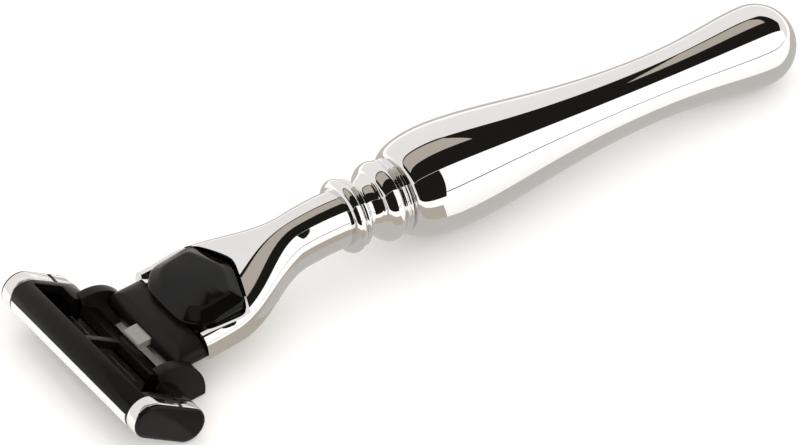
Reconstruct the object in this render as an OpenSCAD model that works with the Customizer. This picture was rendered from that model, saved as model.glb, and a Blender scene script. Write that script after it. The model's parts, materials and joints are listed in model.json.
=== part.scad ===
// Cartridge razor: a turned chrome handle with a three-blade swivelling cartridge.
// The razor lies blades down on z = 0, as it is put down on a shelf. The handle runs along +X,
// and the cartridge lies across it along Y. All sizes are in millimetres.

/* [Grip] */
// Length of the turned grip, from the collar to its round tip
grip_len = 78.2; // [70:0.2:90]
// Largest diameter of the grip, near the collar
grip_bulb_d = 18.3; // [16:0.1:20]
// Smallest diameter of the grip, at its waist
grip_waist_d = 11.0; // [9:0.1:12.5]
// Diameter of the round tip
grip_tip_d = 13.9; // [12.8:0.1:15]
// Diameter of the small flat shoulder that meets the collar
grip_shoulder_d = 12.6; // [12:0.1:13.2]

/* [Collar] */
// Diameter of the large ring next to the neck
ring_d = 12.7; // [12:0.1:13.5]
// Diameter of the hollow between the ring and the bead
cove_d = 9.2; // [8.8:0.1:9.8]
// Diameter of the bead
bead_d = 13.9; // [13.2:0.1:14.4]

/* [Neck] */
// Diameter of the neck where it enters the collar
neck_d = 9.8; // [9.4:0.1:10.2]
// Width of the neck at its front end
front_w = 22; // [21.6:0.1:22.6]
// Height of the front end above its widest line
front_top = 4.4; // [4.2:0.1:4.8]
// Depth of the front end below its widest line
front_bottom = 2.9; // [2.8:0.1:3.2]
// Distance from the collar to the front end, along the handle
neck_reach = 32; // [31:0.5:34]
// Drop of the front end's widest line below the handle's axis
neck_drop = 6.4; // [6:0.1:6.8]

/* [Button] */
// Width of the release button
button_w = 16.8; // [16:0.1:17]
// Length of the release button
button_len = 14.6; // [13.6:0.1:14.8]
// Travel of the release button
button_travel = 3.0; // [2:0.5:3]

/* [Cartridge] */
// Length of the blade unit, across the handle
unit_len = 41.4; // [41:0.2:43]
// Width of the blade unit, from its cap to its guard
unit_w = 14.3; // [14.1:0.1:14.6]
// Thickness of the blade unit
unit_t = 6.4; // [6.3:0.1:6.6]
// Angle of the blade unit to the handle's axis
unit_tilt = 30.5; // [29:0.5:32]
// Distance between neighbouring cutting edges
blade_pitch = 2.0; // [1.9:0.05:2.1]

/* [Hidden] */
fine = 80;
round_fn = 64;

// Handle frame: x = 0 at the collar's front face, +x to the tip, z = 0 on the handle's axis.
collar_len = 11.0;
grip_end = collar_len + grip_len;
grip_bulb_x = 20;
grip_waist_x = 61.5;
grip_tip_x = grip_end - grip_tip_d / 2;

// Docking frame: x = 0 on the neck's front face, +x into the neck, z = 0 on its widest line.
dock_tilt = 6;
dock_pos = [-neck_reach, 0, -neck_drop];

// Unit frame: the blade unit's centre, +x to the guard, +z to its back.
unit_pos = [-45.4, 0, -8.3];
// The pivot, in the unit frame
pivot_x = 5.8;
pivot_z = -0.5;
ear_r = 7.0;
ear_in = 10.6;
ear_out = 12.4;
pin_r = 0.9;
pin_gap = 0.05;

// How the razor lies: the tip and the guard's edge both touch z = 0.
end_r = unit_t / 2;
flat_half = unit_w / 2 - end_r;
guard_c = in_handle(unit_pos, unit_tilt, [flat_half, 0, 0]);
skin_lift = 0.1;
rest_span = grip_tip_x - guard_c[0];
rest_drop = -guard_c[2];
rest_tilt = atan(rest_drop / rest_span)
    - asin((grip_tip_d / 2 - end_r - skin_lift) / norm([rest_span, rest_drop]));
rest_z = end_r + skin_lift - (rot_y(rest_tilt, guard_c))[2];
rest_front = (rot_y(rest_tilt, in_handle(unit_pos, unit_tilt, [-flat_half, 0, 0])))[0] - end_r;
rest_back = (rot_y(rest_tilt, [grip_tip_x, 0, 0]))[0] + grip_tip_d / 2;
rest_x = -(rest_front + rest_back) / 2;

// Blades and their supports
blade_t = 0.12;
support_t = 0.3;
blade_w = 1.45;
blade_lean = 21;
blade_half = 18.1;
blade_edge_z = -3.02;
blade_first_x = 2.5;

// Guard strip and lubricating strip
guard_x0 = 3.35;
guard_half = 17.2;
lube_x1 = -5.0;
lube_z1 = -0.9;

// Clips
clip_w = 2.5;
clip_t = 0.2;
cheek_t = 0.55;
clip_y0 = unit_len / 2 - cheek_t - clip_w;

// Turns a point about +Y, as rotate([0, angle, 0]) does.
function rot_y(angle, p) = [
    p[0] * cos(angle) + p[2] * sin(angle),
    p[1],
    -p[0] * sin(angle) + p[2] * cos(angle)
];
function in_handle(origin, angle, p) = origin + rot_y(angle, p);
// A point on a cubic Bezier curve
function bezier(p, t) = pow(1 - t, 3) * p[0] + 3 * t * pow(1 - t, 2) * p[1]
    + 3 * t * t * (1 - t) * p[2] + pow(t, 3) * p[3];
function bezier_dir(p, t) = pow(1 - t, 2) * (p[1] - p[0]) + 2 * t * (1 - t) * (p[2] - p[1])
    + t * t * (p[3] - p[2]);
function curve(p, n) = [for (i = [0 : n]) bezier(p, i / n)];
function arc(c, r, a0, a1, n) = [
    for (i = [0 : n]) let (a = a0 + (a1 - a0) * i / n) c + r * [cos(a), sin(a)]
];
function signed_power(v, e) = sign(v) * pow(abs(v), e);
// A rounded outline: half width a, height up above and down below, squareness e
function oval(a, up, down, e, n) = [
    for (i = [0 : n - 1]) let (g = 360 * i / n)
        [a * signed_power(cos(g), 2 / e), (sin(g) > 0 ? up : down) * signed_power(sin(g), 2 / e)]
];
function smooth(t) = let (u = max(0, min(1, t))) u * u * (3 - 2 * u);
function mix(a, b, t) = a + (b - a) * t;

// Handle frame to the razor's resting place
module at_rest() {
    translate([rest_x, 0, rest_z]) rotate([0, rest_tilt, 0]) children();
}
module in_dock() {
    at_rest() translate(dock_pos) rotate([0, -dock_tilt, 0]) children();
}
module in_unit() {
    at_rest() translate(unit_pos) rotate([0, unit_tilt, 0]) children();
}
// Turns a profile of [x, radius] points about the handle's axis
module turned(points) {
    rotate([0, 90, 0]) rotate_extrude($fn = fine) polygon([for (p = points) [p[1], p[0]]]);
}
// A prism along Y from a shape in the frame's x and z, between two y values
module across(y0, y1) {
    translate([0, y1, 0]) rotate([90, 0, 0]) linear_extrude(y1 - y0) children();
}
module both_sides() {
    children();
    mirror([0, 1, 0]) children();
}

// Grip and collar

function grip_profile() = concat(
    [[collar_len, 0]],
    curve([
        [collar_len, grip_shoulder_d / 2],
        [collar_len + 0.2, grip_bulb_d / 2 - 1.1],
        [grip_bulb_x - 4.5, grip_bulb_d / 2],
        [grip_bulb_x, grip_bulb_d / 2]
    ], 14),
    [for (i = [1 : 24]) bezier([
        [grip_bulb_x, grip_bulb_d / 2],
        [grip_bulb_x + 11, grip_bulb_d / 2],
        [grip_waist_x - 18, grip_waist_d / 2],
        [grip_waist_x, grip_waist_d / 2]
    ], i / 24)],
    [for (i = [1 : 18]) bezier([
        [grip_waist_x, grip_waist_d / 2],
        [grip_waist_x + 10.5, grip_waist_d / 2],
        [grip_tip_x - 5.5, grip_tip_d / 2],
        [grip_tip_x, grip_tip_d / 2]
    ], i / 18)],
    [for (i = [1 : 14]) let (a = 90 - 90 * i / 14)
        [grip_tip_x + grip_tip_d / 2 * cos(a), grip_tip_d / 2 * sin(a)]]
);
function collar_profile() = concat(
    [[0, 0]],
    [[0, ring_d / 2 - 1.15]],
    arc([1.1, ring_d / 2 - 1.15], 1.15, 165, 15, 10),
    arc([2.75, ring_d / 2 - 1.05], 0.5, 150, 20, 6),
    curve([
        [3.3, cove_d / 2 + 0.55], [3.7, cove_d / 2 - 0.15],
        [5.0, cove_d / 2 - 0.1], [5.9, cove_d / 2 + 0.85]
    ], 10),
    curve([
        [6.3, cove_d / 2 + 1.35], [7.0, bead_d / 2 - 0.15],
        [8.5, bead_d / 2 + 0.25], [9.2, bead_d / 2 - 0.5]
    ], 10),
    arc([9.75, bead_d / 2 - 0.75], 0.36, 150, 30, 6),
    arc([10.5, bead_d / 2 - 0.75], 0.36, 150, 30, 6),
    [[collar_len, bead_d / 2 - 0.8], [collar_len, 0]]
);
stud_r = 2.5;
stud_root_r = 2.1;
stud_x0 = -7.5;
stud_x1 = 24;

// The tapped hole in each of the neck, collar and grip
module stud_hole() {
    translate([stud_x0 - 0.5, 0, 0]) rotate([0, 90, 0])
        cylinder(r = stud_r + 0.02, h = stud_x1 - stud_x0 + 1, $fn = round_fn);
}
module grip() {
    color("gainsboro") at_rest() difference() {
        turned(grip_profile());
        stud_hole();
    }
}
module collar() {
    color("gainsboro") at_rest() difference() {
        turned(collar_profile());
        stud_hole();
    }
}
// The threaded stud, with its thread drawn as ring grooves
module handle_stud() {
    thread_pitch = 0.8;
    grooves = floor((stud_x1 - stud_x0 - 1.6) / thread_pitch);
    color("silver") at_rest() turned(concat(
        [[stud_x0, 0], [stud_x0, stud_root_r]],
        [for (i = [0 : grooves - 1]) each [
            [stud_x0 + 0.8 + i * thread_pitch, stud_root_r],
            [stud_x0 + 0.8 + (i + 0.5) * thread_pitch, stud_r]
        ]],
        [[stud_x1 - 0.8, stud_root_r], [stud_x1, stud_root_r], [stud_x1, 0]]
    ));
}

// Neck

neck_line = [
    [0, 0], [-11, 0],
    [-neck_reach + 12.5, -neck_drop + 12.5 * tan(dock_tilt)], [-neck_reach, -neck_drop]
];
neck_rings = 30;
neck_sides = 40;
// Half width, height above, depth below and squareness of the neck's section at t
function neck_section(t) = let (w = smooth((t - 0.27) / 0.56), h = smooth((t - 0.2) / 0.75)) [
    mix(neck_d / 2 - 0.25 * smooth(t / 0.3), front_w / 2, w),
    mix(neck_d / 2, front_top, h),
    mix(neck_d / 2, front_bottom, h),
    mix(2, 3.2, w)
];
function neck_ring(t) = let (
    p = bezier(neck_line, t), d = bezier_dir(neck_line, t), u = d / norm(d), s = neck_section(t)
) [
    for (q = oval(s[0], s[1], s[2], s[3], neck_sides))
        [p[0] + q[1] * u[1], q[0], p[1] - q[1] * u[0]]
];
module skin(rings) {
    n = len(rings[0]);
    m = len(rings);
    polyhedron(
        points = [for (r = rings) each r],
        faces = concat(
            [[for (j = [0 : n - 1]) j]],
            [for (i = [0 : m - 2]) for (j = [0 : n - 1])
                let (a = i * n + j, b = i * n + (j + 1) % n) each [[a, a + n, b + n], [a, b + n, b]]],
            [[for (j = [n - 1 : -1 : 0]) (m - 1) * n + j]]
        )
    );
}

// The trough that holds the button and the mechanism, in the docking frame
ledge_z = 2.2;
trough_floor_z = -2.1;
trough_half = 7.6;
button_x = 4.5;
button_gap = 0.3;
module button_outline(grow) {
    polygon([for (p = oval(button_len / 2 + grow, button_w / 2 + grow, button_w / 2 + grow, 2.6, 64))
        [button_x + p[0], p[1]]]);
}
module button_recess() {
    translate([0, 0, ledge_z]) linear_extrude(12) union() {
        button_outline(button_gap);
        translate([-4, -button_w / 2 - button_gap])
            square([button_x + 4, button_w + 2 * button_gap]);
    }
}
module trough() {
    translate([-1, -trough_half, trough_floor_z]) cube([7.5, 2 * trough_half, 5]);
    translate([6, -5.2, trough_floor_z]) cube([6.6, 10.4, 5]);
}
module neck_shell() {
    color("gainsboro") difference() {
        at_rest() skin([for (i = [0 : neck_rings]) neck_ring(i / neck_rings)]);
        at_rest() stud_hole();
        in_dock() button_recess();
        in_dock() trough();
        in_dock() pin_hole();
    }
}
// The cross pin that holds the chassis in the neck, pressed in from the far side
chassis_pin_r = 0.6;
chassis_pin_x = 3.2;
chassis_pin_z = -1.5;
chassis_pin_y0 = -8.8;
chassis_pin_y1 = 10.1;
module pin_hole() {
    translate([chassis_pin_x, front_w, chassis_pin_z]) rotate([90, 0, 0])
        cylinder(r = chassis_pin_r + 0.02, h = front_w - chassis_pin_y0 + 0.1, $fn = 32);
}
module chassis_pin() {
    color("silver") in_dock() translate([chassis_pin_x, chassis_pin_y1, chassis_pin_z])
        rotate([90, 0, 0]) cylinder(r = chassis_pin_r, h = chassis_pin_y1 - chassis_pin_y0, $fn = 32);
}

// Chassis, plunger, ejector and button

nose_half = 5.0;
nose_top = 0.9;
nose_bottom = -2.0;
nose_len = 4.5;
channel_half = 2.4;
channel_floor = -0.85;
base_top = -0.95;
module chassis() {
    color("dimgray") in_dock() difference() {
        union() {
            translate([0.05, -trough_half + 0.1, trough_floor_z + 0.05])
                cube([6.3, 2 * trough_half - 0.2, base_top - trough_floor_z - 0.05]);
            translate([5.5, -5.1, trough_floor_z + 0.05])
                cube([6.9, 10.2, base_top - trough_floor_z - 0.05]);
            translate([-nose_len, -nose_half, nose_bottom])
                cube([nose_len + 1.9, 2 * nose_half, nose_top - nose_bottom - 0.5]);
            both_sides() {
                translate([-nose_len, channel_half, nose_bottom])
                    cube([nose_len + 1.9, nose_half - channel_half, nose_top - nose_bottom]);
                translate([0.05, trough_half - 0.9, trough_floor_z + 0.05])
                    cube([6.3, 0.8, ledge_z - trough_floor_z - 0.1]);
            }
        }
        translate([-nose_len - 1, -channel_half, channel_floor])
            cube([nose_len + 6, 2 * channel_half, 6]);
        pin_hole();
    }
}
plunger_z0 = -0.8;
plunger_z1 = 0.4;
plunger_half = 2.25;
plunger_back_x = 5.2;
// The plunger's round tip just clears the round guard end of the blade unit.
guard_dock = rot_y(dock_tilt, guard_c - dock_pos);
plunger_mid_z = (plunger_z0 + plunger_z1) / 2;
plunger_tip_r = (plunger_z1 - plunger_z0) / 2;
plunger_reach = end_r + plunger_tip_r + 0.05;
plunger_tip_x = guard_dock[0] + sqrt(pow(plunger_reach, 2) - pow(plunger_mid_z - guard_dock[2], 2))
    - plunger_tip_r;
module plunger() {
    mid = plunger_mid_z;
    r = plunger_tip_r;
    color("#8a8a88") in_dock() union() {
        translate([plunger_tip_x + r, -plunger_half, plunger_z0])
            cube([plunger_back_x - plunger_tip_x - r, 2 * plunger_half, plunger_z1 - plunger_z0]);
        translate([plunger_tip_x + r, 0, mid]) rotate([90, 0, 0])
            cylinder(r = r, h = 2 * plunger_half, center = true, $fn = 48);
        translate([4.15, -3.3, plunger_z0]) cube([plunger_back_x - 4.15, 6.6, plunger_z1 - plunger_z0]);
        translate([plunger_back_x - 0.1, 0, mid]) rotate([0, 90, 0])
            cylinder(r = 0.35, h = 1.0, $fn = 32);
    }
}
// The return spring of both the plunger and the button, drawn as turns of round wire
spring_r = 0.56;
spring_wire_r = 0.13;
spring_x0 = plunger_back_x + 0.02;
spring_x1 = 10.9;
module plunger_spring() {
    turns = 4;
    steps = 14;
    sides = 8;
    mid = plunger_mid_z;
    length = spring_x1 - spring_x0 - 2 * spring_wire_r;
    color("silver") in_dock() translate([spring_x0 + spring_wire_r, 0, mid])
        skin([for (i = [0 : turns * steps]) let (a = 360 * i / steps, x = length * i / (turns * steps))
            [for (j = [0 : sides - 1]) let (b = -360 * j / sides)
                [x + spring_wire_r * sin(b), (spring_r + spring_wire_r * cos(b)) * cos(a),
                    (spring_r + spring_wire_r * cos(b)) * sin(a)]]]);
}
ejector_arm_half = 6.55;
ejector_z0 = -0.85;
ejector_h = ledge_z - 0.05 - ejector_z0;
// Two arms that push the yoke off its seat, joined by a rear bar and carried by two pegs
module ejector() {
    color("#2b2b2b") in_dock() union() {
        both_sides() translate([0.2, 5.15, ejector_z0])
            cube([6.0, ejector_arm_half - 5.15, ejector_h]);
        both_sides() translate([5.4, 3.5, ejector_z0]) cube([0.8, 2.0, ejector_h]);
        both_sides() translate([5.4, 3.5, ejector_z0]) cube([5.6, 1.5, ejector_h]);
        translate([10.95, -5.0, ejector_z0]) cube([1.2, 10, ejector_h]);
        both_sides() translate([8.6, 4.25, 1.2]) cylinder(r = 0.7, h = 1.9, $fn = 32);
    }
}
button_base_z = ledge_z + 0.1;
button_rim_z = 5.1;
button_top_z = 6.5;
button_rings = 9;
button_sides = 48;
// Underside of the button's front lip, which overhangs the yoke
lip_z = 3.2;
// The cap of the button: a rounded wall that turns over into a shallow dome
function button_ring(z, in) = [
    for (p = oval(button_len / 2 - in, button_w / 2 - in, button_w / 2 - in, 2.6, button_sides))
        [button_x + p[0], p[1], z + 0.09 * p[0] * smooth((z - lip_z) / 1.1)]
];
module release_button() {
    dome = button_top_z - button_rim_z;
    color("#161616") in_dock() union() {
        skin(concat(
            [button_ring(lip_z, 0), button_ring(button_rim_z - 0.8, 0.15)],
            [for (i = [0 : button_rings]) let (a = 84 * i / button_rings)
                button_ring(button_rim_z + dome * sin(a), 0.3 + (button_len / 2 - 0.6) * (1 - cos(a)))]
        ));
        // Plug that slides in the chrome recess, with blind holes for the ejector's two posts
        difference() {
            translate([0, 0, button_base_z]) linear_extrude(lip_z + 0.3 - button_base_z)
                button_outline(-0.3);
            both_sides() translate([8.6, 4.25, 1]) cylinder(r = 0.72, h = 5, $fn = 32);
            translate([-20, -20, 0]) cube([20.16, 40, 10]);
        }
    }
}

// Yoke

pivot_dock = let (h = in_handle(unit_pos, unit_tilt, [pivot_x, 0, pivot_z]) - dock_pos)
    rot_y(dock_tilt, h);
yoke_x0 = -6.0;
yoke_x1 = -0.2;
// The ear's span of angles about the pivot, in the docking frame
ear_a0 = -52;
ear_a1 = 100;
ear_bottom_z = -6.2;
module ear_shape() {
    intersection() {
        translate([pivot_dock[0], pivot_dock[2]]) union() {
            polygon(concat([[0, 0]], arc([0, 0], ear_r, ear_a0, ear_a1, 40)));
            circle(r = 1.35, $fn = round_fn);
        }
        translate([-30, ear_bottom_z]) square([30 + yoke_x1, 30]);
    }
}
module yoke() {
    color("#1c1c1c") in_dock() difference() {
        union() {
            intersection() {
                across(-front_w / 2, front_w / 2) polygon([
                    [yoke_x1, -3], [yoke_x1, 2.3], [-2.6, 2.1], [-4.6, 1.6],
                    [yoke_x0, 0.9], [yoke_x0 + 0.6, -1.6], [yoke_x0 + 1.4, -3]
                ]);
                translate([-8, 0, 0]) rotate([90, 0, 90]) linear_extrude(10)
                    polygon(oval(front_w / 2 - 0.25, front_top - 0.45, front_bottom - 0.2, 3.2, 64));
            }
            both_sides() across(ear_in, ear_out) ear_shape();
            both_sides() across(9.6, ear_in + 0.1) intersection() {
                ear_shape();
                translate([yoke_x0 + 1.4, -2.6]) square([yoke_x1 - yoke_x0 - 1.4, 4.6]);
            }
            both_sides() translate([pivot_dock[0], (ear_in + ear_out) / 2, pivot_dock[2]])
                rotate([90, 0, 0]) cylinder(r = pin_r, h = 3.4, center = true, $fn = round_fn);
        }
        // Socket for the handle's nose
        translate([yoke_x0 + 1.45, -nose_half - 0.1, nose_bottom - 0.1])
            cube([10, 2 * nose_half + 0.2, nose_top - nose_bottom + 0.2]);
        // Window for the plunger
        translate([yoke_x0 - 1, -plunger_half - 0.2, plunger_z0 - 0.2])
            cube([4, 2 * plunger_half + 0.4, plunger_z1 - plunger_z0 + 0.4]);
    }
}

// Blade unit

// The blade unit's section: a bar with round ends, grown outwards by grow
module unit_section(grow) {
    union() {
        both_ends() translate([flat_half, 0]) circle(r = end_r + grow, $fn = round_fn);
        translate([-flat_half, -end_r - grow]) square([2 * flat_half, unit_t + 2 * grow]);
    }
}
module both_ends() {
    children();
    mirror([1, 0]) children();
}
// The room an ear needs as the unit swings, grown by gap
module ear_room(gap) {
    translate([pivot_x, pivot_z]) {
        polygon(concat([[0, 0]], arc([0, 0], ear_r + gap, -20, 176, 48)));
        circle(r = 1.35 + gap, $fn = round_fn);
    }
}
module blade_housing() {
    body_half = unit_len / 2 - cheek_t;
    color("#161616") in_unit() difference() {
        union() {
            across(-body_half, body_half) unit_section(-clip_t);
            across(-clip_y0, clip_y0) unit_section(0);
            both_sides() across(body_half - 0.01, unit_len / 2) unit_section(0);
        }
        // Window over the blades, on the skin side
        translate([-3.6, -clip_y0 - 0.6, -8]) cube([6.6, 2 * clip_y0 + 1.2, 9.8]);
        // Rinsing window in the back, in two halves with a rib between them
        both_sides() translate([-5.0, 0.7, 1.5]) cube([6.2, clip_y0 - 1.9, 8]);
        // Slots for the yoke's ears
        both_sides() across(ear_in - 0.3, ear_out + 0.3) ear_room(0.3);
        // Pivot holes
        both_sides() translate([pivot_x, (ear_in + ear_out) / 2, pivot_z]) rotate([90, 0, 0])
            cylinder(r = pin_r + pin_gap, h = 3.8, center = true, $fn = round_fn);
        guard_pocket();
        lube_pocket();
    }
}
guard_base_z = -2.35;
module guard_pocket() {
    translate([guard_x0, -guard_half - 0.05, -8]) cube([8, 2 * guard_half + 0.1, 8 + guard_base_z]);
}
// The soft guard strip, with a row of fins along it
module guard_strip() {
    fins = 6;
    color("#31343a") in_unit() across(-guard_half, guard_half) intersection() {
        union() {
            translate([guard_x0 + 0.03, -2.75]) square([6, 2.75 + guard_base_z - 0.02]);
            for (i = [0 : fins - 1])
                translate([guard_x0 + 0.1 + i * 0.52, -6]) square([0.28, 3.5]);
        }
        unit_section(0.1);
    }
}
module lube_pocket() {
    translate([-20 + lube_x1, -guard_half - 0.05, -20 + lube_z1])
        cube([20, 2 * guard_half + 0.1, 20]);
}
module lubricating_strip() {
    color("white") in_unit() across(-guard_half, guard_half) intersection() {
        translate([-20 + lube_x1 - 0.03, -20 + lube_z1 - 0.03]) square([20, 20]);
        unit_section(0.1);
    }
}
// Moves a blade's own frame, with its edge at the origin, to cutting edge i
module at_blade(i) {
    in_unit() translate([blade_first_x - (i - 1) * blade_pitch, 0, blade_edge_z]) children();
}
// A point of the blade's cross-section, u back from the edge and v above the blade's lower face
function blade_point(u, v) = let (p = rot_y(blade_lean, [-u, 0, v])) [p[0], p[2]];
module blade(i) {
    color("silver") at_blade(i) across(-blade_half, blade_half) polygon([
        [0, 0], blade_point(blade_w, 0), blade_point(blade_w, blade_t), blade_point(0.35, blade_t)
    ]);
}
// A bent support: a foot under the blade and an upright leg, taller between the ears
module blade_support(i) {
    foot = blade_point(blade_w - 0.05, blade_t + 0.01);
    leg_x = foot[0] + support_t;
    toe = blade_point(0.6, blade_t + 0.01);
    toe_top = blade_point(0.6, blade_t + support_t);
    bend_z = toe_top[1] + (toe_top[0] - leg_x) * tan(blade_lean);
    low = -1.2 - blade_edge_z;
    high = 1.4 - blade_edge_z;
    color("darkgray") at_blade(i) union() {
        across(-blade_half + 0.2, blade_half - 0.2)
            polygon([toe, foot, [foot[0], low], [leg_x, low], [leg_x, bend_z], toe_top]);
        across(-9.9, 9.9)
            polygon([[foot[0], low - 0.1], [foot[0], high], [leg_x, high], [leg_x, low - 0.1]]);
    }
}
// The clip's outline around the unit's section, grown by grow, from one side of its gap to the other
clip_gap_x0 = 0.2;
clip_gap_x1 = 1.1;
function clip_path(grow) = let (r = end_r + grow) concat(
    [[clip_gap_x1, r]],
    arc([flat_half, 0], r, 90, -90, 24),
    arc([-flat_half, 0], r, -90, -270, 24),
    [[clip_gap_x0, r]]
);
module clip(side) {
    inner = clip_path(-clip_t + 0.02);
    color("gainsboro") in_unit() mirror([0, side > 0 ? 0 : 1, 0])
        across(clip_y0 + 0.03, clip_y0 + clip_w - 0.03)
            polygon(concat(clip_path(0.08), [for (i = [len(inner) - 1 : -1 : 0]) inner[i]]));
}

grip();
collar();
handle_stud();
neck_shell();
chassis();
chassis_pin();
plunger();
plunger_spring();
release_button();
ejector();
yoke();
blade_housing();
blade(1);  // blade_1
blade(2);  // blade_2
blade(3);  // blade_3
blade_support(1);  // blade_support_1
blade_support(2);  // blade_support_2
blade_support(3);  // blade_support_3
guard_strip();
lubricating_strip();
clip(-1);  // clip_near
clip(1);  // clip_far
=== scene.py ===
import json
import math

import bmesh
import bpy
from bpy.props import FloatProperty, FloatVectorProperty, PointerProperty, StringProperty
from mathutils import Matrix, Vector


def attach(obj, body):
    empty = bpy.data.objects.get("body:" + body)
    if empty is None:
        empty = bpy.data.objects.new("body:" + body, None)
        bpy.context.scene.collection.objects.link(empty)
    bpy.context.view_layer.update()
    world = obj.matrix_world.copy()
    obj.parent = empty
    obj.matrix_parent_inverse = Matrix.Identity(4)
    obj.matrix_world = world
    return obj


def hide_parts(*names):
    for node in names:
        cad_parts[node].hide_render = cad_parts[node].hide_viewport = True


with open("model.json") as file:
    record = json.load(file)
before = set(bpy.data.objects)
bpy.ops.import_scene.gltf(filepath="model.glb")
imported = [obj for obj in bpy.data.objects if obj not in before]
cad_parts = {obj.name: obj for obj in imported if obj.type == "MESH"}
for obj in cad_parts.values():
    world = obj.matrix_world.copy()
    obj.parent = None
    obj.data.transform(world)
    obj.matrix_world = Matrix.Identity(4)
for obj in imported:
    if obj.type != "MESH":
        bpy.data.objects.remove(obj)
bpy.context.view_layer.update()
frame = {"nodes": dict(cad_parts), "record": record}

bl_info = {
    "name": "Cartridge razor",
    "version": (1, 0, 0),
    "blender": (4, 5, 0),
    "location": "3D View > Sidebar > Razor",
    "description": "Finishes the packed model of a cartridge razor with a turned chrome handle",
    "category": "Object",
}

MM = 0.001
RECORD = frame["record"]

# ---------------------------------------------------------------- the razor's own frames
# Drawing positions are in millimetres. The handle frame has x = 0 at the collar's front face and
# x along the grip; the dock frame sits on the neck's front end; the unit frame on the blade unit.

DOCK_TILT = math.radians(6)
DOCK_IN_HANDLE = Vector((-32, 0, -6.4))
UNIT_IN_HANDLE = Vector((-45.4, 0, -8.3))
UNIT_TILT = math.radians(30.5)


def mount(name):
    """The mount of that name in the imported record."""
    return next(m for m in RECORD["mounts"] if m["name"] == name)


def turned_y(angle, place=(0, 0, 0)):
    """A frame at place, turned by angle about Y."""
    return Matrix.Translation(place) @ Matrix.Rotation(angle, 4, "Y")


socket = mount("nose_socket")
DOCK = turned_y(
    math.atan2(socket["axis"][2], -socket["axis"][0]), Vector(socket["pos_m"]) / MM
)
HANDLE = DOCK @ turned_y(-DOCK_TILT, DOCK_IN_HANDLE).inverted()
UNIT = HANDLE @ turned_y(UNIT_TILT, UNIT_IN_HANDLE)


# ---------------------------------------------------------------- curves and outlines

def bezier(p, t):
    """The point at t on a cubic curve."""
    a, b, c, d = (Vector(q) for q in p)
    s = 1 - t
    return s ** 3 * a + 3 * t * s * s * b + 3 * t * t * s * c + t ** 3 * d


def bezier_direction(p, t):
    """The unit direction of travel at t on a cubic curve."""
    a, b, c, d = (Vector(q) for q in p)
    s = 1 - t
    return (s * s * (b - a) + 2 * t * s * (c - b) + t * t * (d - c)).normalized()


def curve(p, n, first=0):
    """Points at n even steps along a cubic curve, from the step called first."""
    return [tuple(bezier(p, i / n)) for i in range(first, n + 1)]


def arc(centre, r, a0, a1, n):
    """Points on an arc, angles in degrees."""
    out = []
    for i in range(n + 1):
        a = math.radians(a0 + (a1 - a0) * i / n)
        out.append((centre[0] + r * math.cos(a), centre[1] + r * math.sin(a)))
    return out


def circle(centre, r, n, start=0):
    """n points once round a circle, from the angle start in degrees."""
    return arc(centre, r, start, start + 360, n)[:-1]


def smooth(t):
    """Eases from 0 to 1 as t goes from 0 to 1."""
    u = min(1.0, max(0.0, t))
    return u * u * (3 - 2 * u)


def mix(a, b, t):
    """The value a part t of the way from a to b."""
    return a + (b - a) * t


def oval(a, up, down, squareness, n):
    """A rounded outline: half width a, and heights up and down from its widest line."""
    out = []
    for i in range(n):
        g = 2 * math.pi * i / n
        c, s = math.cos(g), math.sin(g)
        x = math.copysign(abs(c) ** (2 / squareness), c)
        y = math.copysign(abs(s) ** (2 / squareness), s)
        out.append((a * x, (up if s > 0 else down) * y))
    return out


def rounded(path, radius, steps=5):
    """An open path of points with its inner corners rounded."""
    out = [tuple(path[0])]
    for before, corner, after in zip(path, path[1:], path[2:]):
        b, c, a = Vector(before), Vector(corner), Vector(after)
        r = min(radius, (b - c).length * 0.45, (a - c).length * 0.45)
        start, end = c + (b - c).normalized() * r, c + (a - c).normalized() * r
        for i in range(steps + 1):
            t = i / steps
            out.append(tuple((1 - t) ** 2 * start + 2 * t * (1 - t) * c + t * t * end))
    out.append(tuple(path[-1]))
    return out


# ---------------------------------------------------------------- making meshes

def new_piece(name, points, faces):
    """An object in millimetres, in its own frame, from points and faces."""
    mesh = bpy.data.meshes.new(name)
    mesh.from_pydata([tuple(p) for p in points], [], faces)
    mesh.validate()
    obj = bpy.data.objects.new(name, mesh)
    bpy.context.scene.collection.objects.link(obj)
    shape = bmesh.new()
    shape.from_mesh(mesh)
    bmesh.ops.remove_doubles(shape, verts=shape.verts, dist=1e-5)
    bmesh.ops.recalc_face_normals(shape, faces=shape.faces)
    shape.to_mesh(mesh)
    shape.free()
    return obj


def lofted(name, rings):
    """A skin over rings with equal numbers of points, with both ends filled."""
    n, m = len(rings[0]), len(rings)
    points = [p for ring in rings for p in ring]
    faces = []
    for i in range(m - 1):
        for j in range(n):
            a, b = i * n, (i + 1) * n
            k = (j + 1) % n
            faces.append((a + j, b + j, b + k, a + k))
    faces.append(tuple(range(n)))
    faces.append(tuple(range((m - 1) * n, m * n)))
    return new_piece(name, points, faces)


def lathed(name, profile, sides):
    """Turns a profile of (x, radius) about the x axis. Its ends are on the axis."""
    points = [(profile[0][0], 0, 0)]
    inner = profile[1:-1]
    for x, r in inner:
        for j in range(sides):
            a = 2 * math.pi * j / sides
            points.append((x, r * math.cos(a), r * math.sin(a)))
    points.append((profile[-1][0], 0, 0))
    faces = []
    last = len(points) - 1
    for j in range(sides):
        k = (j + 1) % sides
        faces.append((0, 1 + j, 1 + k))
        base = 1 + (len(inner) - 1) * sides
        faces.append((last, base + k, base + j))
    for i in range(len(inner) - 1):
        a, b = 1 + i * sides, 1 + (i + 1) * sides
        for j in range(sides):
            k = (j + 1) % sides
            faces.append((a + j, b + j, b + k, a + k))
    return new_piece(name, points, faces)


def across(name, outline, y0, y1):
    """A prism along y from an outline in x and z."""
    return lofted(name, [[(x, y, z) for x, z in outline] for y in (y0, y1)])


def upright(name, outline, z0, z1):
    """A prism along z from an outline in x and y."""
    return lofted(name, [[(x, y, z) for x, y in outline] for z in (z0, z1)])


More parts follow.
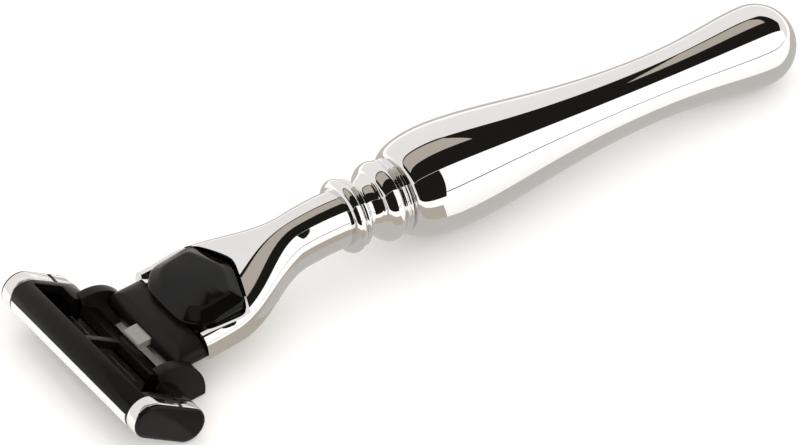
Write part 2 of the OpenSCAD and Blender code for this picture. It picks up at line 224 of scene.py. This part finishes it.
def box_piece(low, high):
    """A box between two corners, for cutting with."""
    x0, y0, z0 = low
    x1, y1, z1 = high
    return across("box", [(x0, z0), (x1, z0), (x1, z1), (x0, z1)], y0, y1)


STUD_BORE_R, STUD_BORE_X = 2.52, (-8, 24.5)


def stud_bore():
    """The plain bore through collar and grip, and into the neck, for the stud."""
    section = circle((0, 0), STUD_BORE_R, 64)
    return lofted("bore", [[(x, y, z) for y, z in section] for x in STUD_BORE_X])


def apply_modifiers(obj):
    """Bakes the object's modifiers into its mesh."""
    graph = bpy.context.evaluated_depsgraph_get()
    done = bpy.data.meshes.new_from_object(obj.evaluated_get(graph))
    old = obj.data
    obj.modifiers.clear()
    obj.data = done
    bpy.data.meshes.remove(old)
    done.name = obj.name


def combine(obj, operation, tools):
    """Adds tools to obj or cuts them from it, and removes the tools."""
    for tool in tools:
        step = obj.modifiers.new("step", "BOOLEAN")
        step.operation = operation
        step.solver = "EXACT"
        step.object = tool
        apply_modifiers(obj)
        bpy.data.objects.remove(tool)
    return obj


def soften(obj, width, segments=2, angle=28):
    """Rounds the edges that a mould or a tumbler would round."""
    edge = obj.modifiers.new("edge", "BEVEL")
    edge.width = width
    edge.segments = segments
    edge.limit_method = "ANGLE"
    edge.angle_limit = math.radians(angle)
    edge.use_clamp_overlap = True
    edge.harden_normals = False
    apply_modifiers(obj)
    return obj


def finished(obj, matrix, body, material, nodes=(), sharp=32):
    """Puts a piece in the row frame in metres, shades it, gives it its material and its body."""
    if not obj.data.polygons:
        raise RuntimeError(obj.name + " has no faces")
    obj.data.transform(Matrix.Scale(MM, 4) @ matrix)
    for face in obj.data.polygons:
        face.use_smooth = True
    obj.data.set_sharp_from_angle(angle=math.radians(sharp))
    obj.data.materials.clear()
    obj.data.materials.append(material)
    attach(obj, body)
    if nodes:
        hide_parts(*nodes)
    return obj


def repaint(node, material):
    """Gives a CAD node a material in place of its plain one."""
    obj = frame["nodes"][node]
    if not obj.material_slots:
        obj.data.materials.append(material)
    for one in obj.material_slots:
        one.material = material


# ---------------------------------------------------------------- materials

def colour(code):
    """A sRGB hex colour as linear RGBA."""
    out = []
    for i in (0, 2, 4):
        c = int(code.lstrip("#")[i:i + 2], 16) / 255
        out.append(c / 12.92 if c <= 0.04045 else ((c + 0.055) / 1.055) ** 2.4)
    return (*out, 1.0)


def add_node(tree, kind, values=None, links=None, **settings):
    """Adds a shader node with its settings, socket values and incoming links."""
    node = tree.nodes.new(kind)
    for name, value in settings.items():
        setattr(node, name, value)
    for name, value in (values or {}).items():
        node.inputs[name].default_value = value
    for name, source in (links or {}).items():
        tree.links.new(source, node.inputs[name])
    return node


def new_material(name, **shader_values):
    """A material with one Principled shader, whose sockets hold what is the same all over."""
    material = bpy.data.materials.new(name)
    material.use_nodes = True
    tree = material.node_tree
    tree.nodes.clear()
    shader = add_node(tree, "ShaderNodeBsdfPrincipled", shader_values)
    add_node(tree, "ShaderNodeOutputMaterial", links={"Surface": shader.outputs["BSDF"]})
    return material, tree, shader


def grain(tree, shader, size_mm, detail, rough, tint=None, bump=0.0, depth_mm=0.01, place=None):
    """Varies roughness, colour and height with one noise whose grains measure size_mm."""
    if place is None:
        place = add_node(tree, "ShaderNodeTexCoord").outputs["Object"]
    noise = add_node(
        tree, "ShaderNodeTexNoise",
        {"Scale": 1 / (size_mm * MM), "Detail": detail, "Roughness": 0.6}, {"Vector": place},
    )
    if rough:
        level = add_node(
            tree, "ShaderNodeMapRange",
            {"From Min": 0.3, "From Max": 0.7, "To Min": rough[0], "To Max": rough[1]},
            {"Value": noise.outputs["Fac"]},
        )
        tree.links.new(level.outputs["Result"], shader.inputs["Roughness"])
    if tint:
        blend = add_node(
            tree, "ShaderNodeMix", {6: colour(tint[0]), 7: colour(tint[1])},
            {0: noise.outputs["Fac"]}, data_type="RGBA",
        )
        tree.links.new(blend.outputs[2], shader.inputs["Base Color"])
    if bump:
        height = add_node(
            tree, "ShaderNodeBump", {"Strength": bump, "Distance": depth_mm * MM},
            {"Height": noise.outputs["Fac"]},
        )
        tree.links.new(height.outputs["Normal"], shader.inputs["Normal"])
    return noise


def turned_chrome():
    """Chrome plate over turned and polished brass: a deep mirror with the faintest cloud of wiping."""
    material, tree, shader = new_material(
        "chrome_plate_turned_polished", Metallic=1.0, Roughness=0.02,
    )
    grain(tree, shader, 9.0, 3.0, (0.012, 0.035), ("#EEEDEC", "#E6E5E4"))
    return material


def cast_chrome():
    """Chrome plate over a polished zinc casting: a mirror with slow ripples left by the casting."""
    material, tree, shader = new_material(
        "chrome_plate_cast_polished", Metallic=1.0, Roughness=0.03,
    )
    grain(tree, shader, 5.0, 1.0, (0.015, 0.045), ("#ECEBEA", "#E4E3E2"), 0.15, 0.02)
    return material


def button_plastic():
    """Black ABS from a polished mould: wet-looking, with faint wear from the thumb."""
    material, tree, shader = new_material(
        "abs_black_polished_mould", Metallic=0.0, Roughness=0.1, IOR=1.53,
    )
    shader.inputs["Specular IOR Level"].default_value = 0.2
    grain(tree, shader, 1.6, 4.0, (0.07, 0.14), ("#070606", "#0B0A09"), 0.12, 0.01)
    return material


def yoke_plastic():
    """Black acetal from a spark-eroded mould: satin, with a fine even grain of 0.25 mm."""
    material, tree, shader = new_material(
        "acetal_black_satin_mould", Metallic=0.0, Roughness=0.34, IOR=1.48,
    )
    shader.inputs["Specular IOR Level"].default_value = 0.18
    grain(tree, shader, 0.25, 3.0, (0.28, 0.42), ("#100F0E", "#181614"), 0.25, 0.01)
    return material


def housing_plastic():
    """Black ABS from a plain mould: half gloss, with small flow marks."""
    material, tree, shader = new_material(
        "abs_black_satin_mould", Metallic=0.0, Roughness=0.16, IOR=1.53,
    )
    shader.inputs["Specular IOR Level"].default_value = 0.14
    grain(tree, shader, 0.9, 4.0, (0.15, 0.28), ("#0A0908", "#12110F"), 0.12, 0.01)
    return material


def chassis_plastic():
    """Glass-filled nylon: dull black with pale fibre flecks."""
    material, tree, shader = new_material(
        "nylon_black_glass_filled", Metallic=0.0, Roughness=0.5, IOR=1.52,
    )
    shader.inputs["Specular IOR Level"].default_value = 0.3
    grain(tree, shader, 0.3, 5.0, (0.42, 0.6), ("#11100F", "#1D1C1B"), 0.3, 0.01)
    return material


def plunger_plastic():
    """Grey acetal: slippery, a little waxy."""
    material, tree, shader = new_material(
        "acetal_grey_moulded", Metallic=0.0, Roughness=0.35, IOR=1.48,
    )
    grain(tree, shader, 0.5, 3.0, (0.28, 0.42), ("#8F8C87", "#827F7A"), 0.1, 0.01)
    return material


def clip_metal():
    """Rolled aluminium strip bent round the unit: bright, and rippled where it was bent."""
    material, tree, shader = new_material(
        "aluminium_strip_bright_rolled", Metallic=1.0, Roughness=0.1,
    )
    grain(tree, shader, 1.3, 2.0, (0.06, 0.16), ("#EFEEED", "#E3E1DF"), 0.3, 0.05)
    return material


def ground_steel(name, light, dark, low, high):
    """Steel ground or drawn along y: fine lines 0.15 mm apart, 25 times as long."""
    material, tree, shader = new_material(name, Metallic=1.0, Roughness=low)
    place = add_node(tree, "ShaderNodeTexCoord").outputs["Object"]
    along = add_node(
        tree, "ShaderNodeMapping", {"Scale": (1.0, 0.04, 1.0)}, {"Vector": place},
    ).outputs["Vector"]
    grain(tree, shader, 0.15, 3.0, (low, high), (light, dark), 0.2, 0.01, along)
    return material


def guard_rubber():
    """Thermoplastic rubber: blue-black and dull."""
    material, tree, shader = new_material(
        "tpe_rubber_moulded", Metallic=0.0, Roughness=0.55, IOR=1.5,
    )
    grain(tree, shader, 0.4, 3.0, (0.48, 0.66), ("#1A1C20", "#24272C"), 0.3, 0.015)
    return material


def lube_polymer():
    """Extruded water-soluble polymer: chalky white with faint lines along its length."""
    material, tree, shader = new_material(
        "polymer_strip_extruded", Metallic=0.0, Roughness=0.5, IOR=1.46,
    )
    place = add_node(tree, "ShaderNodeTexCoord").outputs["Object"]
    along = add_node(
        tree, "ShaderNodeMapping", {"Scale": (1.0, 0.06, 1.0)}, {"Vector": place},
    ).outputs["Vector"]
    grain(tree, shader, 0.4, 3.0, (0.4, 0.6), ("#F1F2EF", "#DDE3DF"), 0.3, 0.02, along)
    return material


# ---------------------------------------------------------------- settings

class RazorSettings(bpy.types.PropertyGroup):
    """Sizes of the razor's own pieces, in millimetres."""

    grip_bulb: FloatProperty(
        name="Grip bulb", description="Largest diameter of the grip, mm", default=18.3, min=16, max=20)
    grip_waist: FloatProperty(
        name="Grip waist", description="Smallest diameter of the grip, mm",
        default=11.0, min=9, max=12.5)
    grip_tip: FloatProperty(
        name="Grip tip", description="Diameter of the round tip, mm", default=13.9, min=12.8, max=15)
    button_crown: FloatProperty(
        name="Button crown", description="Height of the release button over its rim, mm",
        default=1.4, min=0.8, max=1.4)
    edge_round: FloatProperty(
        name="Moulded edge", description="Rounding of the plastic pieces' edges, mm",
        default=0.16, min=0.05, max=0.3)


class RazorStageSettings(bpy.types.PropertyGroup):
    """The stage round the razor."""

    floor_colour: StringProperty(
        name="Floor", description="sRGB hex colour of the floor", default="#F7F7F6")
    sky_colour: FloatVectorProperty(
        name="Surround", description="Colour of the soft light all round", subtype="COLOR",
        default=(1.0, 0.975, 0.96), min=0, max=1)
    sky_strength: FloatProperty(
        name="Surround strength", description="Strength of the soft light all round",
        default=1.25, min=0, max=4)
    mirror_strength: FloatProperty(
        name="Mirrored strength", description="Strength of the surround seen in reflections",
        default=0.95, min=0, max=4)
    view_width: FloatProperty(
        name="View width", description="Width that the camera sees, mm",
        default=130.1, min=50, max=400)


# ---------------------------------------------------------------- the pieces

# Along the handle's axis: where the collar meets the grip, and the grip's far end
COLLAR_LEN = 11.0
GRIP_END = 89.2


class RAZOR_OT_grip(bpy.types.Operator):
    """Turns the long chrome grip: bulb, waist and round tip"""

    bl_idname = "razor.grip"
    bl_label = "Grip"

    def execute(self, context):
        s = context.scene.razor
        x0, bulb, waist, tip = COLLAR_LEN, s.grip_bulb / 2, s.grip_waist / 2, s.grip_tip / 2
        tip_x = GRIP_END - tip
        profile = [(x0, 0.0), (x0, 5.7), (x0 + 0.03, 5.95)]
        profile += curve(
            [(x0 + 0.12, 6.3), (x0 + 0.2, bulb - 1.1), (15.5, bulb), (20.0, bulb)], 40)
        profile += curve([(20.0, bulb), (31.0, bulb), (43.5, waist), (61.5, waist)], 60, 1)
        profile += curve([(61.5, waist), (72.0, waist), (tip_x - 5.5, tip), (tip_x, tip)], 40, 1)
        profile += arc((tip_x, 0), tip, 90, 0, 28)[1:-1]
        profile.append((GRIP_END, 0.0))
        grip = combine(lathed("grip_turned", profile, 160), "DIFFERENCE", [stud_bore()])
        finished(grip, HANDLE, "handle", turned_chrome(), ["grip"])
        return {"FINISHED"}


class RAZOR_OT_collar(bpy.types.Operator):
    """Turns the collar: a large ring, a fine ring, a hollow, a bead and two fine rings"""

    bl_idname = "razor.collar"
    bl_label = "Collar"

    def execute(self, context):
        ring, cove, bead = 6.35, 4.6, 6.95
        profile = [(0.0, 0.0), (0.0, 4.9), (0.05, ring - 1.2)]
        profile += arc((1.1, ring - 1.15), 1.15, 165, 15, 24)
        profile += arc((2.75, ring - 1.05), 0.5, 150, 20, 14)
        profile += curve(
            [(3.3, cove + 0.55), (3.7, cove - 0.15), (5.0, cove - 0.1), (5.9, cove + 0.85)], 22)
        profile += [(6.1, cove + 0.95), (6.22, cove + 1.2)]
        profile += curve(
            [(6.3, cove + 1.35), (7.0, bead - 0.15), (8.5, bead + 0.25), (9.2, bead - 0.5)], 26)
        for fine_ring in (9.75, 10.5):
            profile += arc((fine_ring, bead - 0.75), 0.36, 160, 20, 12)
        profile += [(COLLAR_LEN, bead - 0.85), (COLLAR_LEN, 0.0)]
        collar = combine(lathed("collar_turned", profile, 144), "DIFFERENCE", [stud_bore()])
        finished(
            collar, HANDLE, "handle",
            bpy.data.materials["chrome_plate_turned_polished"], ["collar"], sharp=40)
        return {"FINISHED"}


# The neck's centre line in the handle frame, in x and z
NECK_LINE = [(0, 0), (-11, 0), (-19.5, -6.4 + 12.5 * math.tan(DOCK_TILT)), (-32, -6.4)]
# The button in the dock frame: the ledge below it, its middle, its rim, its half width, how crisp
# the corners of its plan are, and the gaps round it in its seat and beside it in the mouth
LEDGE_Z = 2.2
BUTTON_X, BUTTON_RIM_Z, BUTTON_FOOT_Z = 5.2, 4.45, 3.2
BUTTON_HALF = 8.7
BUTTON_CRISPNESS = 15
SEAT_GAP, MOUTH_GAP = 0.22, 0.2
CUT_TOP = 14
CROSS_PIN, CROSS_PIN_R = (3.2, -1.5), 0.62


def neck_ring(t, sides):
    """One cross-section of the neck at t along its centre line."""
    w, h = smooth((t - 0.27) / 0.56), smooth((t - 0.2) / 0.75)
    outline = oval(
        mix(4.9 - 0.25 * smooth(t / 0.3), 11.0, w), mix(4.9, 4.4, h), mix(4.9, 2.9, h),
        mix(2, 3.2, w), sides)
    p, u = bezier(NECK_LINE, t), bezier_direction(NECK_LINE, t)
    return [(p[0] + q * u[1], y, p[1] - q * u[0]) for y, q in outline]


def facet_outline(inset, n=144):
    """The button's plan in x and y: straight sides, a pointed rear and a bowed front, rounded off."""
    # Each straight side's facing angle, and its distance from the middle
    sides = [(180, 6.5)]
    for side in (1, -1):
        sides += [(side * 90, BUTTON_HALF), (side * 19, 6.75), (side * 142, 8.3)]
    out = []
    for i in range(n):
        g = 2 * math.pi * i / n
        total = 0.0
        for angle, distance in sides:
            facing = math.cos(g - math.radians(angle))
            if facing > 0:
                total += (facing / (distance - inset)) ** BUTTON_CRISPNESS
        r = total ** (-1 / BUTTON_CRISPNESS)
        out.append((BUTTON_X + r * math.cos(g), r * math.sin(g)))
    return out


class RAZOR_OT_neck(bpy.types.Operator):
    """Sweeps the flared chrome neck and cuts the button's seat and the trough below it"""

    bl_idname = "razor.neck"
    bl_label = "Neck"

    def execute(self, context):
        rings = [neck_ring(i / 90, 128) for i in range(91)]
        neck = lofted("neck_shell_swept", rings)
        to_handle = HANDLE.inverted() @ DOCK
        seat = upright("seat", facet_outline(-SEAT_GAP), LEDGE_Z, CUT_TOP)
        # The button slides out through the mouth, so the mouth is wider than the button
        mouth_half = BUTTON_HALF + MOUTH_GAP
        mouth = box_piece((-4, -mouth_half, LEDGE_Z), (BUTTON_X, mouth_half, CUT_TOP))
        shelf_plan = [(-4, -12), (8.4, -12), (12.3, 0), (8.4, 12), (-4, 12)]
        shelf = upright("shelf", shelf_plan, 3.1, CUT_TOP)
        trough = box_piece((-1, -7.6, -2.14), (6.5, 7.6, 2.9))
        well = box_piece((6, -5.2, -2.16), (12.6, 5.2, 2.8))
        pin_hole = across("pin_hole", circle(CROSS_PIN, CROSS_PIN_R, 32), -8.9, 22)
        tools = [seat, mouth, shelf, trough, well, pin_hole]
        for tool in tools:
            tool.data.transform(to_handle)
        combine(neck, "DIFFERENCE", tools + [stud_bore()])
        finished(
            neck, HANDLE, "handle", cast_chrome(), ["neck_shell"], sharp=30)
        return {"FINISHED"}


class RAZOR_OT_button(bpy.types.Operator):
    """Moulds the release button: an upright rim, a bevelled shoulder and a shallow crown"""

    bl_idname = "razor.button"
    bl_label = "Release button"

    def execute(self, context):
        top = BUTTON_RIM_Z + context.scene.razor.button_crown
        # Inset from the plan, and height
        wall = [(0.0, BUTTON_FOOT_Z), (0.1, BUTTON_RIM_Z - 0.3), (2.2, top - 0.42), (5.9, top)]
        rings = []
        for inset, z in [(0.0, 2.3)] + rounded(wall, 0.42, 7):
            lean = 0.09 * smooth((z - BUTTON_FOOT_Z) / 1.1)
            ring = facet_outline(inset)
            rings.append([(x, y, z + lean * (x - BUTTON_X)) for x, y in ring])
        button = lofted("release_button_moulded", rings)
        combine(button, "DIFFERENCE", [box_piece((-20, -20, 0), (0.1, 20, BUTTON_FOOT_Z))])
        finished(
            button, DOCK, "button", button_plastic(), ["release_button"], sharp=40)
        return {"FINISHED"}


# The ears' faces along y, the pivot in the unit frame, and the ear's and pin's radii
EAR_IN, EAR_OUT = 10.6, 12.4
PIVOT_X, PIVOT_Z, EAR_R = 5.8, -0.5, 7.0
PIN_R = 0.9
# The pivot in the dock frame, in x and z
pivot_in_dock = DOCK.inverted() @ UNIT @ Vector((PIVOT_X, 0, PIVOT_Z))
PIVOT = (pivot_in_dock.x, pivot_in_dock.z)


class RAZOR_OT_yoke(bpy.types.Operator):
    """Moulds the yoke: a crowned saddle, two ears and their pins"""

    bl_idname = "razor.yoke"
    bl_label = "Yoke"

    def execute(self, context):
        edge = context.scene.razor.edge_round
        crown = curve([(-0.2, 2.28), (-2.8, 2.5), (-6.0, 1.7), (-5.95, -1.0)], 24)
        side = [(-0.2, -3.6)] + crown + [(-5.85, -1.9), (-5.6, -2.9), (-5.0, -3.6)]
        saddle = across("yoke_moulded", side, -11, 11)
        section = [(-y, z) for y, z in oval(10.5, 2.62, 3.4, 2.4, 96)]
        limit = lofted("limit", [[(x, y, z) for y, z in section] for x in (-8, 2)])
        combine(saddle, "INTERSECT", [limit])
        for s in (-1, 1):
            ear = [PIVOT] + arc(PIVOT, EAR_R, -52, 100, 40)
            plate = across("ear", ear, *sorted((s * EAR_IN, s * EAR_OUT)))
            combine(plate, "INTERSECT", [box_piece((-30, -20, -6.2), (-0.25, 20, 20))])
            core = [PIVOT] + arc(PIVOT, EAR_R - 0.2, -50, 98, 37)
            web = across("web", core, *sorted((s * 9.5, s * (EAR_IN + 0.3))))
            combine(web, "INTERSECT", [box_piece((-4.55, -20, -2.5), (-0.3, 20, 1.9))])
            hub = across("hub", circle(PIVOT, 1.35, 48), *sorted((s * 10.66, s * 12.34)))
            pin = across("pin", circle(PIVOT, PIN_R, 48, 3), *sorted((s * 9.8, s * 13.2)))
            combine(saddle, "UNION", [plate, web, hub, pin])
        combine(saddle, "DIFFERENCE", [
            box_piece((-4.55, -5.1, -2.1), (5.0, 5.1, 1.0)),
            box_piece((-7.0, -2.45, -1.0), (-3.0, 2.45, 0.6)),
        ])
        soften(saddle, edge, 3)
        finished(saddle, DOCK, "yoke", yoke_plastic(), ["yoke"], sharp=35)
        return {"FINISHED"}


# The unit's half length, its section's end radius and flat half width, and the clips' place and size
UNIT_HALF = 20.7
END_R, FLAT_HALF = 3.2, 3.95
CLIP_Y0, CLIP_W, CLIP_T = 17.65, 2.5, 0.2


def unit_outline(grow, n=28):
    """The blade unit's section, a bar with round ends, in x and z."""
    r = END_R + grow
    return arc((FLAT_HALF, 0), r, -90, 90, n) + arc((-FLAT_HALF, 0), r, 90, 270, n)


class RAZOR_OT_housing(bpy.types.Operator):
    """Moulds the blade unit's housing with its windows, ear slots and rounded end caps"""

    bl_idname = "razor.housing"
    bl_label = "Blade housing"

    def execute(self, context):
        edge = context.scene.razor.edge_round
        clip_end = CLIP_Y0 + CLIP_W
        # Along y from the middle: how far the section grows, with the clip's groove and the end cap
        half = [
            (CLIP_Y0, 0.0), (CLIP_Y0 + 0.01, -CLIP_T), (clip_end - 0.01, -CLIP_T), (clip_end, 0.0),
            (UNIT_HALF - 0.5, 0.0), (UNIT_HALF - 0.25, -0.13), (UNIT_HALF - 0.08, -0.4),
            (UNIT_HALF, -0.75),
        ]
        steps = [(-y, g) for y, g in reversed(half)] + half
        body = lofted(
            "blade_housing_moulded", [[(x, y, z) for x, z in unit_outline(g)] for y, g in steps])
        tools = [
            box_piece((-3.6, -18.25, -8), (3.0, 18.25, 1.8)),
            box_piece((3.35, -17.25, -8), (11.35, 17.25, -2.35)),
            box_piece((-25.0, -17.25, -20.9), (-5.0, 17.25, -0.9)),
        ]
        pivot, ear_gap = (PIVOT_X, PIVOT_Z), 0.3
        room = [pivot] + arc(pivot, EAR_R + ear_gap, -20, 176, 48)
        for s in (-1, 1):
            y0, y1 = sorted((s * 0.7, s * 16.45))
            tools.append(box_piece((-5.0, y0, 1.5), (1.2, y1, 9.5)))
            y0, y1 = sorted((s * (EAR_IN - ear_gap), s * (EAR_OUT + ear_gap)))
            tools.append(across("room", room, y0, y1))
            tools.append(across("hub_room", circle(pivot, 1.65, 48), y0, y1))
            y0, y1 = sorted((s * 9.6, s * 13.4))
            tools.append(across("hole", circle(pivot, PIN_R + 0.05, 48), y0, y1))
        combine(body, "DIFFERENCE", tools)
        soften(body, edge * 0.75, 2)
        finished(
            body, UNIT, "blade_unit", housing_plastic(), ["blade_housing"], sharp=35)
        return {"FINISHED"}


class RAZOR_OT_clips(bpy.types.Operator):
    """Bends the two bright clips round the blade unit"""

    bl_idname = "razor.clips"
    bl_label = "Clips"

    def execute(self, context):
        metal = clip_metal()
        # Heights across the strip: rolled edges and a slightly crowned middle
        outer = [(0.03, -0.06), (0.1, 0.03), (0.25, 0.07), (0.9, 0.08), (1.25, 0.085),
                 (1.6, 0.08), (2.25, 0.07), (2.4, 0.03), (2.47, -0.06)]
        for name, s in (("clip_near", -1), ("clip_far", 1)):
            section = outer + [(y, -CLIP_T + 0.02) for y, _ in reversed(outer)]
            rings = []
            path = [((1.1, 0.0), 90.0)]
            path += [((FLAT_HALF, 0.0), 90.0 - 180.0 * i / 28) for i in range(29)]
            path += [((-FLAT_HALF, 0.0), -90.0 - 180.0 * i / 28) for i in range(29)]
            path += [((0.2, 0.0), -270.0)]
            for (cx, cz), a in path:
                c, d = math.cos(math.radians(a)), math.sin(math.radians(a))
                rings.append([
                    (cx + (END_R + g) * c, s * (CLIP_Y0 + y), cz + (END_R + g) * d)
                    for y, g in section])
            strip = lofted(name + "_bent", rings)
            finished(strip, UNIT, "blade_unit", metal, [name], sharp=40)
        return {"FINISHED"}


class RAZOR_OT_inner_parts(bpy.types.Operator):
    """Gives the blades, strips, stud, spring and mechanism their own finishes"""

    bl_idname = "razor.inner_parts"
    bl_label = "Inner parts"

    def execute(self, context):
        blade = ground_steel("stainless_steel_ground_edge", "#D9D8D6", "#BFBDBA", 0.16, 0.28)
        stamped = ground_steel("stainless_steel_stamped", "#B5B2AE", "#98948F", 0.25, 0.4)
        drawn = ground_steel("steel_drawn_and_rolled", "#A9A6A2", "#8B8782", 0.28, 0.45)
        nylon = chassis_plastic()
        for i in (1, 2, 3):
            repaint("blade_%d" % i, blade)
            repaint("blade_support_%d" % i, stamped)
        for node in ("handle_stud", "chassis_pin", "plunger_spring"):
            repaint(node, drawn)
        for node in ("chassis", "ejector"):
            repaint(node, nylon)
        repaint("plunger", plunger_plastic())
        repaint("guard_strip", guard_rubber())
        repaint("lubricating_strip", lube_polymer())
        return {"FINISHED"}


# ---------------------------------------------------------------- the stage

# The camera's sensor in millimetres, and its distance in metres
SENSOR_MM = 36
CAMERA_DISTANCE = 2.0


def stage_card(name, corners, material):
    """A flat card that only shows in reflections."""
    card = new_piece(name, corners, [tuple(range(len(corners)))])
    card.data.materials.append(material)
    card.visible_camera = False
    card.visible_diffuse = False
    card.visible_shadow = False
    card.visible_transmission = False
    return card


def lying(outline, z):
    """The corners of a level card, from its outline in x and y."""
    return [(x, y, z) for x, y in outline]


def leaning(x0, x1, foot, head):
    """The corners of a card that leans from its foot to its head, each given in y and z."""
    return [(x0, *foot), (x1, *foot), (x1, *head), (x0, *head)]


def card_paint(name, code, strength):
    """A card's own even glow."""
    material = bpy.data.materials.new(name)
    material.use_nodes = True
    tree = material.node_tree
    tree.nodes.clear()
    glow = add_node(tree, "ShaderNodeEmission", {"Color": colour(code), "Strength": strength})
    add_node(tree, "ShaderNodeOutputMaterial", links={"Surface": glow.outputs["Emission"]})
    return material


class RAZOR_OT_stage(bpy.types.Operator):
    """Lays the pale floor and sets the soft light, the dark flag overhead and the camera"""

    bl_idname = "razor.stage"
    bl_label = "Stage"

    def execute(self, context):
        scene, s = context.scene, context.scene.razor_stage
        scene.view_settings.view_transform = "Standard"
        paper, tree, shader = new_material("paper_sweep_matt", Roughness=0.9, IOR=1.4)
        shader.inputs["Base Color"].default_value = colour(s.floor_colour)
        shader.inputs["Specular IOR Level"].default_value = 0.1
        grain(tree, shader, 2.0, 3.0, (0.85, 0.95))
        floor = new_piece(
            "floor", [(-8, -8, 0), (8, -8, 0), (8, 8, 0), (-8, 8, 0)], [(0, 1, 2, 3)])
        floor.data.materials.append(paper)

        # The surround lights the floor a little more strongly than it shows in the chrome
        world = bpy.data.worlds.new("soft_surround")
        world.use_nodes = True
        scene.world = world
        tree = world.node_tree
        tree.nodes.clear()
        path = add_node(tree, "ShaderNodeLightPath")
        level = add_node(
            tree, "ShaderNodeMapRange", {"To Min": s.sky_strength, "To Max": s.mirror_strength},
            {"Value": path.outputs["Is Glossy Ray"]})
        sky = add_node(
            tree, "ShaderNodeBackground", {"Color": (*s.sky_colour, 1.0)},
            {"Strength": level.outputs["Result"]})
        add_node(tree, "ShaderNodeOutputWorld", links={"Surface": sky.outputs[0]})

        flag = card_paint("flag_cloth", "#1F1D1A", 1.0)
        # A warm glow for the overhead panel, also used below the neck as painted warm floor shadow
        wall = card_paint("warm_panel_and_painted_floor_shadow", "#BDB5A9", 1.0)
        silk = card_paint("diffuser_silk", "#FFFFFF", 1.3)
        # A grey glow that stands in for the shadowed floor below the grip: painted shade, seen only in
        # the chrome
        painted_floor_shadow = card_paint("grey_painted_floor_shadow", "#C9C5C1", 1.0)
        # Overhead: a dark flag with a warm panel hung just below its far half
        stage_card("flag_overhead", lying(
            [(-1.6, -0.67), (2.6, -0.67), (2.6, 0.2), (1.0, 0.5), (0.5, 0.62), (-1.6, 0.62)], 1), flag)
        stage_card("panel_overhead", lying(
            [(-0.9, -0.08), (0.7, 0.05), (0.56, 0.52), (-0.9, 0.56)], 0.99), wall)
        # Near side: a long diffuser from the flag down to the floor, and a dark flag left of it
        foot, head = (-1.6, 0.0), (-0.68, 0.995)
        stage_card("diffuser_near", leaning(0.2, 4, foot, head), silk)
        stage_card("flag_near", leaning(-2.5, 0.2, foot, head), flag)
        # Just above the floor, seen only in reflections: painted floor shadow, grey below the grip and
        # warm below the neck
        stage_card("painted_floor_shadow", lying(
            [(-0.03, -0.018), (0.12, -0.013), (0.12, 0.09), (-0.03, 0.09)], 0.0004), painted_floor_shadow)
        # Warm painted floor shadow below the neck, seen only in the chrome
        stage_card("painted_floor_shadow_warm", lying(
            [(-0.06, -0.05), (-0.001, -0.05), (-0.001, 0.0), (-0.06, 0.0)], 0.0003), wall)
        # A thin dark rail across the diffuser
        stage_card("rail_near", leaning(0.2, 3, (-1.35, 0.19), (-1.35, 0.235)), flag)

        lamp = bpy.data.lights.new("softbox_near", "AREA")
        lamp.shape, lamp.size, lamp.size_y, lamp.energy = "RECTANGLE", 2.4, 1.0, 8.0
        box = bpy.data.objects.new("softbox_near", lamp)
        box.location = (0.1, -1.35, 1.1)
        box.rotation_euler = (Vector((0, 0, 0)) - box.location).to_track_quat("-Z", "Y").to_euler()
        box.visible_glossy = False
        scene.collection.objects.link(box)

        # The view is square to the handle's own upright: its right, up and back are stated there.
        turn = HANDLE.to_3x3().to_4x4()
        right = turn @ Vector((0.8359, -0.5486, -0.004))
        up = turn @ Vector((0.3484, 0.5252, 0.777))
        back = right.cross(up).normalized()
        up = back.cross(right).normalized()
        centre = (HANDLE @ Vector((0, 0, 0)) + right * 10.1 - up * 0.66) * MM
        camera = bpy.data.cameras.new("camera")
        camera.sensor_width = SENSOR_MM
        camera.lens = SENSOR_MM * CAMERA_DISTANCE / MM / s.view_width
        camera.clip_end = 50
        eye = bpy.data.objects.new("camera", camera)
        basis = Matrix((right.normalized(), up, back)).transposed().to_4x4()
        eye.matrix_world = Matrix.Translation(centre + back * CAMERA_DISTANCE) @ basis
        scene.collection.objects.link(eye)
        scene.camera = eye
        return {"FINISHED"}


class RAZOR_PT_panel(bpy.types.Panel):
    """Lists the razor's pieces in the 3D view's sidebar"""

    bl_label = "Razor"
    bl_idname = "RAZOR_PT_panel"
    bl_space_type = "VIEW_3D"
    bl_region_type = "UI"
    bl_category = "Razor"

    def draw(self, context):
        for piece in PIECES:
            self.layout.operator(piece.bl_idname)
        for group in (context.scene.razor, context.scene.razor_stage):
            for name in group.__annotations__:
                self.layout.prop(group, name)


PIECES = (
    RAZOR_OT_stage, RAZOR_OT_grip, RAZOR_OT_collar, RAZOR_OT_neck, RAZOR_OT_button, RAZOR_OT_yoke,
    RAZOR_OT_housing, RAZOR_OT_clips, RAZOR_OT_inner_parts,
)
CLASSES = (RazorSettings, RazorStageSettings, *PIECES, RAZOR_PT_panel)


def register():
    for one in CLASSES:
        bpy.utils.register_class(one)
    bpy.types.Scene.razor = PointerProperty(type=RazorSettings)
    bpy.types.Scene.razor_stage = PointerProperty(type=RazorStageSettings)


def unregister():
    del bpy.types.Scene.razor_stage
    del bpy.types.Scene.razor
    for one in reversed(CLASSES):
        bpy.utils.unregister_class(one)


def main():
    register()
    for piece in PIECES:
        group, name = piece.bl_idname.split(".")
        if getattr(getattr(bpy.ops, group), name)() != {"FINISHED"}:
            raise RuntimeError(piece.bl_label + " was not finished")


if __name__ == "__main__":
    main()
